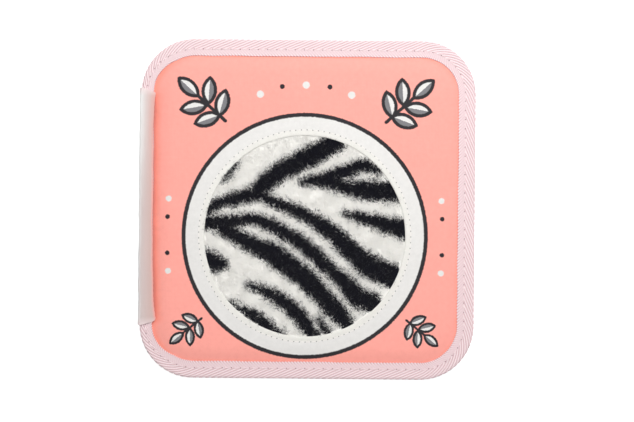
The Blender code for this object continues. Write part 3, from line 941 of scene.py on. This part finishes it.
backing_foot = plush_low[2] + BACKING_RISE
backing_points, backing_faces = disc(WINDOW_CENTRE, PATCH_RADIUS - PATCH_EASE, PILE_CELL, backing_foot)
from_middle = np.linalg.norm(backing_points[:, :2] - WINDOW_CENTRE, axis=1)
rise = np.clip((WINDOW_RADIUS - 0.4 * MM - from_middle) / (0.5 * MM), 0, 1)
lumps = 0.12 * MM * ripples(backing_points, 9, 3 * MM)
backing_points[:, 2] += rise * (PILE_FOOT - plush_low[2] - BACKING_RISE + lumps)
backing = new_object("plush_backing", backing_points, backing_faces, FLEECE)
set_attribute(backing.data, "depth", stripe_depth(backing_points[:, :2]))
set_attribute(backing.data, "shade", np.full(len(backing_points), 0.3))
wall = backing.modifiers.new("thickness", "SOLIDIFY")
wall.thickness = BACKING_THICKNESS
for piece in (pile, backing):
    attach(piece, "front_cover")
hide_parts("plush_patch")

# Binding tape
# Cotton herringbone tape, 17 mm wide, is folded over the raw edges of the leaf and sewn through all layers.
# Its ribs run one way over most of its width and turn back near the selvedge; at the corners it fans out.
TAPE_HALF = 1.7 * MM
TAPE_THICKNESS = 0.5 * MM
FOLD_RADIUS = 1.2 * MM
RIB_PITCH = 2.9 * MM
RIB_SLANT = 2.4
SELVEDGE = 2.9 * MM
COLUMNS_A_RIB = 8
RIB_HEIGHT = 0.19 * MM
SPINE_TUCK = 2.1 * MM
CORNER_STEPS = 24


def outline_curve(name, leaf, inset, height, tuck=0.0):
    """A closed curve along a leaf's rounded outline at an inset, anticlockwise, less a tuck at the spine."""
    centre, half, _ = outline_of(leaf)
    radius = CORNER_RADIUS - inset
    reach = half - inset - radius
    points = []
    for x, y, start in ((1, -1, -90), (1, 1, 0), (-1, 1, 90), (-1, -1, 180)):
        for step in range(CORNER_STEPS + 1):
            angle = math.radians(start + 90 * step / CORNER_STEPS)
            spot = centre + reach * (x, y) + radius * np.array([math.cos(angle), math.sin(angle)])
            spot[0] -= tuck * min(1, max(0, (-60 * MM - spot[0]) / (10 * MM)))
            points.append([*spot, height])
    return path_curve(name, points, True)


def tape_section():
    """The folded tape in section: a ring of (inset, height, distance from the selvedge, outside or not)."""
    flat = np.linspace(TAPE_REACH, FOLD_RADIUS, 17)
    turn = np.radians(np.linspace(90, 270, 9))[1:-1]
    rows = [(x, TAPE_HALF, TAPE_REACH - x, 1) for x in flat]
    for angle in turn:
        past_flat = FOLD_RADIUS * min(angle - math.pi / 2, 3 * math.pi / 2 - angle)
        rows.append((FOLD_RADIUS * (1 + math.cos(angle)), TAPE_HALF - FOLD_RADIUS * (1 - math.sin(angle)),
                     TAPE_REACH - FOLD_RADIUS + past_flat, 1))
    rows = [(x, h if i < 21 else -rows[40 - i][1], e, o) for i, (x, h, e, o) in enumerate(rows)]
    rows += [(x, -TAPE_HALF, TAPE_REACH - x, 1) for x in flat[::-1]]
    inner = TAPE_HALF - TAPE_THICKNESS
    rows += [(x, -inner, TAPE_REACH - x, 0) for x in (TAPE_REACH, 4 * MM, FOLD_RADIUS)]
    rows.append((TAPE_THICKNESS, 0.0, TAPE_REACH - TAPE_THICKNESS, 0))
    rows += [(x, inner, TAPE_REACH - x, 0) for x in (FOLD_RADIUS, 4 * MM, TAPE_REACH)]
    return rows


def arches(tree, phase, half_turns):
    """A row of even arches from 0 to 1, so many to each step of a phase."""
    angle = add(tree, "ShaderNodeMath", {0: phase, 1: half_turns * math.pi}, operation="MULTIPLY")
    swing = add(tree, "ShaderNodeMath", {0: angle}, operation="SINE")
    return add(tree, "ShaderNodeMath", {0: swing}, operation="ABSOLUTE")


# Mercerised cotton: a soft gleam on the crown of each rib, and painted shade that makes the grooves between them a
# deeper pink.
tree = start_material("pink herringbone tape")
place = in_mm(tree)
groove = add(tree, "ShaderNodeAttribute", output="Fac", attribute_name="groove")
fuzz = add(tree, "ShaderNodeTexNoise", {"Vector": place, "Scale": 2.5, "Detail": 3.0})
# Painted shade by the groove share, with a random fuzz of tone.
groove_shade_and_fuzz = add(tree, "ShaderNodeMath", {0: fuzz, 1: 0.35, 2: groove}, operation="MULTIPLY_ADD")
tape_colour = colour_steps(tree, groove_shade_and_fuzz, ((0.15, "F6E4E6"), (1.0, "D7B2B7")))
TAPE = new_material("pink herringbone tape", tape_colour, 0.7, fuzz, 0.08 * MM, 0.15)

tree, inputs = node_group("folded herringbone tape", {
    "Section": "Object", "Ribs": "Int", "Columns per rib": "Int", "Rows": "Int", "Selvedge": "Float",
    "Slant": "Float", "Rib height": "Float", "Waver": "Float", "Tuck": "Float", "Calm": "Float"})
path = add(tree, "GeometryNodeResampleCurve", {"Curve": inputs["Geometry"], "Length": 1 * MM}, mode="LENGTH")
whole = add(tree, "GeometryNodeCurveLength", {0: path})
columns = add(tree, "ShaderNodeMath", {0: inputs["Ribs"], 1: inputs["Columns per rib"]}, operation="MULTIPLY")
columns_and_one = add(tree, "ShaderNodeMath", {0: columns, 1: 1.0}, operation="ADD")
grid = add(tree, "GeometryNodeMeshGrid", {"Vertices X": columns_and_one, "Vertices Y": inputs["Rows"]})
number = add(tree, "GeometryNodeInputIndex")
row = add(tree, "ShaderNodeMath", {0: number, 1: inputs["Rows"]}, operation="FLOORED_MODULO")
column = add(tree, "ShaderNodeMath", {0: number, 1: inputs["Rows"]}, operation="DIVIDE")
column = add(tree, "ShaderNodeMath", {0: column}, operation="FLOOR")
section = add(tree, "GeometryNodeObjectInfo", {0: inputs["Section"]}, "Geometry")
corner = {"Geometry": section, "Value": add(tree, "GeometryNodeInputPosition"), "Index": row}
corner = add(tree, "GeometryNodeSampleIndex", corner, data_type="FLOAT_VECTOR")
corner_parts = add(tree, "ShaderNodeSeparateXYZ", {0: corner}).node
told = {}
for name in ("edge", "outside"):
    value = add(tree, "GeometryNodeInputNamedAttribute", {"Name": name}, data_type="FLOAT")
    told[name] = add(tree, "GeometryNodeSampleIndex", {"Geometry": section, "Value": value, "Index": row})
past = add(tree, "ShaderNodeMath", {0: told["edge"], 1: inputs["Selvedge"]}, operation="SUBTRACT")
long_slant = add(tree, "ShaderNodeMath", {0: past, 1: 0.0}, operation="MAXIMUM")
long_slant = add(tree, "ShaderNodeMath", {0: long_slant, 1: inputs["Slant"]}, operation="MULTIPLY")
short_slant = add(tree, "ShaderNodeMath", {0: past, 1: 0.0}, operation="MINIMUM")
shear = add(tree, "ShaderNodeMath", {0: long_slant, 1: short_slant}, operation="SUBTRACT")
phase = add(tree, "ShaderNodeMath", {0: column, 1: inputs["Columns per rib"]}, operation="DIVIDE")
along = add(tree, "ShaderNodeMath", {0: column, 1: columns}, operation="DIVIDE")
along = add(tree, "ShaderNodeMath", {0: along, 1: whole}, operation="MULTIPLY")
along = add(tree, "ShaderNodeMath", {0: along, 1: shear}, operation="SUBTRACT")
along = add(tree, "ShaderNodeMath", {0: along, 1: whole}, operation="FLOORED_MODULO")
spot = add(tree, "GeometryNodeSampleCurve", {"Curves": path, "Length": along}, "Position", mode="LENGTH").node
inward = {0: (0, 0, 1), 1: spot.outputs["Tangent"]}
inward = add(tree, "ShaderNodeVectorMath", inward, operation="CROSS_PRODUCT")
inward = add(tree, "ShaderNodeVectorMath", {0: inward}, operation="NORMALIZE")
drift = add(tree, "ShaderNodeTexNoise", {"Vector": spot.outputs["Position"], "Scale": 60.0, "Detail": 2.0})
drift = add(tree, "ShaderNodeMapRange", {0: drift, 1: 0.3, 2: 0.7, 3: -1.0, 4: 1.0})
near_selvedge = add(tree, "ShaderNodeMapRange", {0: told["edge"], 1: 0.0, 2: 5 * MM, 3: 1.0, 4: 0.0})
drift = add(tree, "ShaderNodeMath", {0: drift, 1: near_selvedge}, operation="MULTIPLY")
bead = arches(tree, phase, 2)
rib = arches(tree, phase, 1)
in_selvedge = add(tree, "ShaderNodeMapRange", {0: past, 1: -0.3 * MM, 2: 0.3 * MM, 3: 1.0, 4: 0.0})
crest = add(tree, "ShaderNodeMix", {0: in_selvedge, 2: rib, 3: bead})
scallop = add(tree, "ShaderNodeMapRange", {0: told["edge"], 1: 0.0, 2: 0.6 * MM, 3: 0.35 * MM, 4: 0.0})
scallop = add(tree, "ShaderNodeMath", {0: scallop, 1: bead}, operation="MULTIPLY")
inset = {0: drift, 1: inputs["Waver"], 2: corner_parts.outputs[0]}
inset = add(tree, "ShaderNodeMath", inset, operation="MULTIPLY_ADD")
inset = add(tree, "ShaderNodeMath", {0: inset, 1: scallop}, operation="ADD")
place_parts = add(tree, "ShaderNodeSeparateXYZ", {0: spot.outputs["Position"]})
tuck = add(tree, "ShaderNodeMapRange", {0: place_parts, 1: -78 * MM, 2: -66 * MM, 3: inputs["Tuck"], 4: 0.0})
tuck = add(tree, "ShaderNodeMath", {0: tuck, 1: near_selvedge}, operation="MULTIPLY")
inset = add(tree, "ShaderNodeMath", {0: inset, 1: tuck}, operation="SUBTRACT")
offset = add(tree, "ShaderNodeVectorMath", {0: inward, "Scale": inset}, operation="SCALE")
lift = add(tree, "ShaderNodeCombineXYZ", {2: corner_parts.outputs[1]})
target = add(tree, "ShaderNodeVectorMath", {0: spot.outputs["Position"], 1: offset}, operation="ADD")
target = add(tree, "ShaderNodeVectorMath", {0: target, 1: lift}, operation="ADD")
wrapped = add(tree, "GeometryNodeSetPosition", {"Geometry": grid, "Position": target})
groove = add(tree, "ShaderNodeMath", {0: 1.0, 1: crest}, operation="SUBTRACT")
soft_groove = add(tree, "ShaderNodeMath", {0: groove, 1: inputs["Calm"], 2: 0.3}, operation="MULTIPLY_ADD")
groove = add(tree, "ShaderNodeMix", {0: in_selvedge, 2: groove, 3: soft_groove})
at_edge = add(tree, "ShaderNodeMapRange", {0: told["edge"], 1: 0.5 * MM, 2: 1.0 * MM, 3: 1.0, 4: 0.0})
loop_gap = add(tree, "ShaderNodeMath", {0: 1.0, 1: bead}, operation="SUBTRACT")
groove = add(tree, "ShaderNodeMix", {0: at_edge, 2: groove, 3: loop_gap})
# The groove share lifts the ribs, and in the tape's material it also sets the painted shade.
wrapped = add(tree, "GeometryNodeStoreNamedAttribute", {
    "Geometry": wrapped, "Name": "groove", "Value": groove})
high = add(tree, "ShaderNodeMath", {0: 1.0, 1: groove}, operation="SUBTRACT")
high = add(tree, "ShaderNodeMath", {0: high, 1: told["outside"]}, operation="MULTIPLY")
wrapped = add(tree, "GeometryNodeStoreNamedAttribute", {"Geometry": wrapped, "Name": "lift", "Value": high})
joined = add(tree, "GeometryNodeMergeByDistance", {"Geometry": wrapped, "Distance": 0.01 * MM})
out = add(tree, "GeometryNodeInputNormal")
kept_lift = add(tree, "GeometryNodeInputNamedAttribute", {"Name": "lift"}, data_type="FLOAT")
raise_by = add(tree, "ShaderNodeMath", {0: kept_lift, 1: inputs["Rib height"]}, operation="MULTIPLY")
raised = add(tree, "ShaderNodeVectorMath", {0: out, "Scale": raise_by}, operation="SCALE")
ribbed = add(tree, "GeometryNodeSetPosition", {"Geometry": joined, "Offset": raised})
close_group(tree, ribbed, inputs)

ring_rows = tape_section()
ring_rows += ring_rows[:1]
section = new_object("tape_section", [(x, h, 0) for x, h, _, _ in ring_rows], [], TAPE)
set_attribute(section.data, "edge", [e for _, _, e, _ in ring_rows])
set_attribute(section.data, "outside", [o for _, _, _, o in ring_rows])
for leaf in LEAVES:
    centre, half, level = outline_of(leaf)
    perimeter = 4 * half.sum() - (8 - 2 * math.pi) * CORNER_RADIUS
    path = outline_curve("tape_path", leaf, 0, level)
    tape = grown(f"{leaf}_herringbone_tape", path, tree, {
        "Section": section, "Ribs": round(perimeter / RIB_PITCH), "Columns per rib": COLUMNS_A_RIB,
        "Rows": len(ring_rows), "Selvedge": SELVEDGE, "Slant": RIB_SLANT, "Rib height": RIB_HEIGHT,
        "Waver": 0.15 * MM, "Tuck": SPINE_TUCK, "Calm": 0.2, "Material": TAPE})
    tape.data.set_sharp_from_angle(angle=math.radians(50))
    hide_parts(f"{leaf}_tape")
    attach(tape, leaf)
bpy.data.objects.remove(section)

# Tape seams
# The same thread, in a longer stitch, runs round each leaf where the ribs of the tape turn, through all layers.
# It sinks between the ribs, so that hardly more than a row of small pits is seen.
TAPE_STITCH = 4.3 * MM
SEAM_INSET = TAPE_REACH - SELVEDGE

PINK_THREAD = sewing_thread("pink sewing thread", "F2DCDE", "FBEBEC")
PINK_HOLE = needle_hole("needle hole in pink tape", "8F6C70", "C6A2A6")

for leaf in LEAVES:
    centre, half, level = outline_of(leaf)
    perimeter = 4 * (half - SEAM_INSET).sum() - (8 - 2 * math.pi) * (CORNER_RADIUS - SEAM_INSET)
    for side, sign in (("upper", 1), ("lower", -1)):
        height = level + sign * TAPE_HALF
        path = outline_curve("seam_path", leaf, SEAM_INSET, height, SPINE_TUCK)
        stitches = round(perimeter / TAPE_STITCH)
        thread, hole = (0.17 * MM, PINK_THREAD), (0.3 * MM, PINK_HOLE)
        seam = sew(f"{leaf}_{side}_tape_seam", path, stitches, thread, hole)
        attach(seam, leaf)

# Hinge strips
# A strip of bleached cotton is folded over the spine edge of each leaf, on top of the tape, and sewn through.
# Those of the covers run on to the middle of the spine, where one seam joins the four leaves.
STRIP_HALF = 2.4 * MM
STRIP_CLOTH = 0.4 * MM
STRIP_FOLD = 1.6 * MM
STRIP_STATIONS = 224
SPINE_STITCHES = 36
# Tints across a strip at its foot and at its head: the tape showing through, with painted shade, painted coral
# reflection and, at the head, painted light.
FOOT_SHOW_THROUGH_AND_SHADE = ((0.05, "FFFFFE"), (0.24, "D5C6C3"), (0.73, "D4B7B1"), (0.89, "FFABA2"))
HEAD_SHOW_THROUGH_AND_SHADE = ((0.14, "FDFCFA"), (0.25, "EAE6E4"), (0.38, "DFD3D0"), (0.6, "DABFBA"), (0.82, "E2AEA6"))


def arc(x, y, radius, start, end, steps=8):
    """Points (inset, height) along an arc between two angles in degrees."""
    angles = np.radians(np.linspace(start, end, steps + 1))
    return [(x + radius * math.cos(a), y + radius * math.sin(a)) for a in angles]


def even_line(points, step):
    """The same ring of points with more of them on its long straight sides."""
    spaced = []
    for (x0, y0), (x1, y1) in zip(points, points[1:] + points[:1]):
        parts = max(1, round(math.dist((x0, y0), (x1, y1)) / step))
        spaced += [(x0 + (x1 - x0) * i / parts, y0 + (y1 - y0) * i / parts) for i in range(parts)]
    return spaced


def strip_section(is_cover, width, wall):
    """A hinge strip in section, as a ring of (inset, height). A cover's has a wall down to the spine seam."""
    low = STRIP_FOLD - STRIP_HALF
    inner = STRIP_FOLD - STRIP_CLOTH
    points = [(width, STRIP_HALF), *arc(STRIP_FOLD, -low, STRIP_FOLD, 90, 180)]
    if is_cover:
        points += [(0, -wall), (STRIP_CLOTH, -wall), (STRIP_CLOTH, -STRIP_HALF)]
    else:
        points += arc(STRIP_FOLD, low, STRIP_FOLD, 180, 270)
    points += [(width, -STRIP_HALF), (width, STRIP_CLOTH - STRIP_HALF)]
    points += arc(STRIP_FOLD, low, inner, 270, 180) + arc(STRIP_FOLD, -low, inner, 180, 90)
    return points + [(width, STRIP_HALF - STRIP_CLOTH)]


# Bleached plain-weave cotton: matt, slightly uneven, and thin enough for the pink of the tape to show through.
# Painted shade greys it where it rounds off, painted coral reflection pinks its free edge, most on the front, and
# its head is painted lighter.
tree = start_material("bleached cotton strip")
place = in_mm(tree)
parts = add(tree, "ShaderNodeSeparateXYZ", {0: place}).node
across = add(tree, "ShaderNodeAttribute", output="Fac", attribute_name="across")
streak = add(tree, "ShaderNodeMapping", {"Vector": place, "Scale": (0.9, 0.12, 0.9)})
streak = add(tree, "ShaderNodeTexNoise", {"Vector": streak, "Scale": 0.7, "Detail": 4.0})
tinted = add(tree, "ShaderNodeMath", {0: streak, 1: 0.15, 2: across}, operation="MULTIPLY_ADD")
tinted = add(tree, "ShaderNodeMapRange", {0: tinted, 1: 0.0, 2: 1.25})
to_head = add(tree, "ShaderNodeMapRange", {0: parts.outputs[1], 1: 0.0, 2: 45.0})
by_place = {0: to_head, 6: colour_steps(tree, tinted, FOOT_SHOW_THROUGH_AND_SHADE), 7: colour_steps(tree, tinted, HEAD_SHOW_THROUGH_AND_SHADE)}
strip_colour = add(tree, "ShaderNodeMix", by_place, 2, data_type="RGBA")
ends = add(tree, "ShaderNodeMath", {0: parts.outputs[1], 1: 0.65}, operation="SUBTRACT")
ends = add(tree, "ShaderNodeMath", {0: ends}, operation="ABSOLUTE")
ends = add(tree, "ShaderNodeMapRange", {0: ends, 1: 52.0, 2: 56.0})
tape_below = {0: ends, 6: strip_colour, 7: linear("EFDCDC")}
strip_colour = add(tree, "ShaderNodeMix", tape_below, 2, data_type="RGBA")
weave = plain_weave(tree, place, 0.52)
height = add(tree, "ShaderNodeMath", {0: weave, 1: 0.4, 2: streak}, operation="MULTIPLY_ADD")
COTTON = new_material("bleached cotton strip", strip_colour, 0.9, height, 0.12 * MM, 0.1)

for leaf in LEAVES:
    low, high = (np.array(corner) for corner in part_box(f"{leaf}_hinge_strip"))
    level = outline_of(leaf)[2]
    is_cover = leaf in (LEAVES[0], LEAVES[-1])
    over = 1 if leaf != "back_cover" else -1
    wall = level - low[2] if over > 0 else high[2] - level
    ring = np.array(even_line(strip_section(is_cover, STRIP_WIDTH, wall), 0.8 * MM))
    on_face = np.clip((ring[:, 0] - STRIP_FOLD) / (STRIP_WIDTH - STRIP_FOLD), 0, 1)
    rows = []
    for station in range(STRIP_STATIONS + 1):
        y = low[1] + (high[1] - low[1]) * station / STRIP_STATIONS
        widening = strip_edge(y, low[1], high[1]) - STRIP_WIDTH
        cut = 1.3 * MM * near_end(y - low[1], 9 * MM) - 1.9 * MM * near_end(high[1] - y, 9 * MM)
        across = low[0] + ring[:, 0] + widening * on_face
        rows.append(np.column_stack([across, y + cut * on_face, level + over * ring[:, 1]]))
    points = np.vstack(rows)
    # On the front's outer face the tints reach further across, for the painted reflection of the coral cloth.
    over_coral = (leaf == "front_cover") & (points[:, 2] > level)
    shown = np.tile(ring[:, 0] / STRIP_WIDTH, STRIP_STATIONS + 1) * np.where(over_coral, 1.0, 0.75)
    on_face = np.clip((points[:, 0] - low[0] - 1 * MM) / (2 * MM), 0, 1)
    sides = np.sign(points[:, 2] - level)
    sag = 0.1 * MM * ripples(points, 21 + LEAVES.index(leaf), 9 * MM)
    bow = 0.12 * MM * np.sin(np.clip((points[:, 0] - low[0]) / (7.7 * MM), 0, 1) * math.pi)
    ends = np.minimum(points[:, 1] - low[1], high[1] - points[:, 1])
    bow -= 0.3 * MM * np.clip(1 - ends / (5 * MM), 0, 1) ** 2
    outer_limit = (leaf == "back_cover") * (points[:, 2] < level)
    points[:, 2] += on_face * sides * np.where(outer_limit, -0.1 * MM, sag * 0.6 + bow - 0.1 * MM)
    on_spine = is_cover * np.clip((low[0] + 1.2 * MM - points[:, 0]) / (0.8 * MM), 0, 1)
    points[:, 0] += on_spine * 0.1 * MM * np.clip(ripples(points[:, 1:], 31, 5 * MM), -1.2, 1.2)
    faces = [[first, *others[::-1]] for first, *others in ring_faces(STRIP_STATIONS, len(ring))]
    faces.append(list(range(len(ring)))[::-1])
    faces.append([STRIP_STATIONS * len(ring) + i for i in range(len(ring))])
    strip = new_object(f"{leaf}_spine_strip", points, faces, COTTON)
    set_attribute(strip.data, "across", shown)
    shell = bmesh.new()
    shell.from_mesh(strip.data)
    bmesh.ops.recalc_face_normals(shell, faces=shell.faces)
    shell.to_mesh(strip.data)
    shell.free()
    strip.data.set_sharp_from_angle(angle=math.radians(50))
    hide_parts(f"{leaf}_hinge_strip")
    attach(strip, leaf)
    if is_cover:
        stitch_line = level - over * (wall - 1.2 * MM)
        path = path_curve("seam_path", [(low[0] + 0.08 * MM, y, stitch_line) for y in (low[1], high[1])])
        thread, hole = (0.18 * MM, WHITE_THREAD), (0.22 * MM, WHITE_HOLE)
        seam = sew(f"{leaf}_spine_seam", path, SPINE_STITCHES, thread, hole)
        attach(seam, leaf)

# Table, lamps and camera
# The book lies on a white sweep under a large soft light near its head, and the camera looks straight down.
CAMERA_HEIGHT = 704 * MM
CAMERA_SHIFT = (4.77 * MM, -0.8 * MM)
CAMERA_TURN = math.radians(0.55)
LENS = 85
FLOOR_SIZE = 6
LAMPS = (
    ("head_light", (0.09, 0.31, 0.55), 0.5, 3.85),
    ("fill_light", (0.12, -0.3, 0.9), 0.9, 1.5),
)

top_of_book = cad_high[2]
lens = bpy.data.cameras.new("camera")
lens.lens = LENS
camera = bpy.data.objects.new("camera", lens)
camera.location = (*CAMERA_SHIFT, top_of_book + CAMERA_HEIGHT)
camera.rotation_euler = (0, 0, CAMERA_TURN)
scene.collection.objects.link(camera)
scene.camera = camera


def seen(tree):
    """1 for rays that see a surface straight, in a gloss or through a film, and 0 for the light it throws."""
    rays = add(tree, "ShaderNodeLightPath").node
    share = rays.outputs["Is Camera Ray"]
    for kind in ("Is Glossy Ray", "Is Transmission Ray"):
        share = add(tree, "ShaderNodeMath", {0: share, 1: rays.outputs[kind]}, operation="MAXIMUM")
    return share


tree = start_material("white paper sweep")
sweep = tree.nodes["Principled BSDF"]
sweep.inputs["Base Color"].default_value = linear("FFFFFF")
sweep.inputs["Roughness"].default_value = 0.9
sweep.inputs["Emission Color"].default_value = linear("FFFFFF")
glow = add(tree, "ShaderNodeMath", {0: seen(tree), 1: 0.65}, operation="MULTIPLY")
tree.links.new(glow, sweep.inputs["Emission Strength"])
corners = [(x * FLOOR_SIZE, y * FLOOR_SIZE, cad_low[2]) for x, y in ((-1, -1), (1, -1), (1, 1), (-1, 1))]
floor = new_object("floor", corners, [(0, 1, 2, 3)], MATERIALS["white paper sweep"])
floor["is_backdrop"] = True

world = bpy.data.worlds.new("studio")
world.use_nodes = True
scene.world = world
tree = world.node_tree
sky = tree.nodes["Background"]
sky.inputs["Color"].default_value = linear("FFFFFF")
glow = add(tree, "ShaderNodeMapRange", {0: seen(tree), 1: 0.0, 2: 1.0, 3: 0.24, 4: 1.0})
tree.links.new(glow, sky.inputs["Strength"])

for name, spot, size, power in LAMPS:
    lamp = bpy.data.lights.new(name, "AREA")
    lamp.size = size
    lamp.energy = power
    light = bpy.data.objects.new(name, lamp)
    light.location = spot
    aim = -light.location
    light.rotation_euler = aim.to_track_quat("-Z", "Y").to_euler()
    scene.collection.objects.link(light)

low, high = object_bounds()
scene.view_settings.view_transform = "Standard"
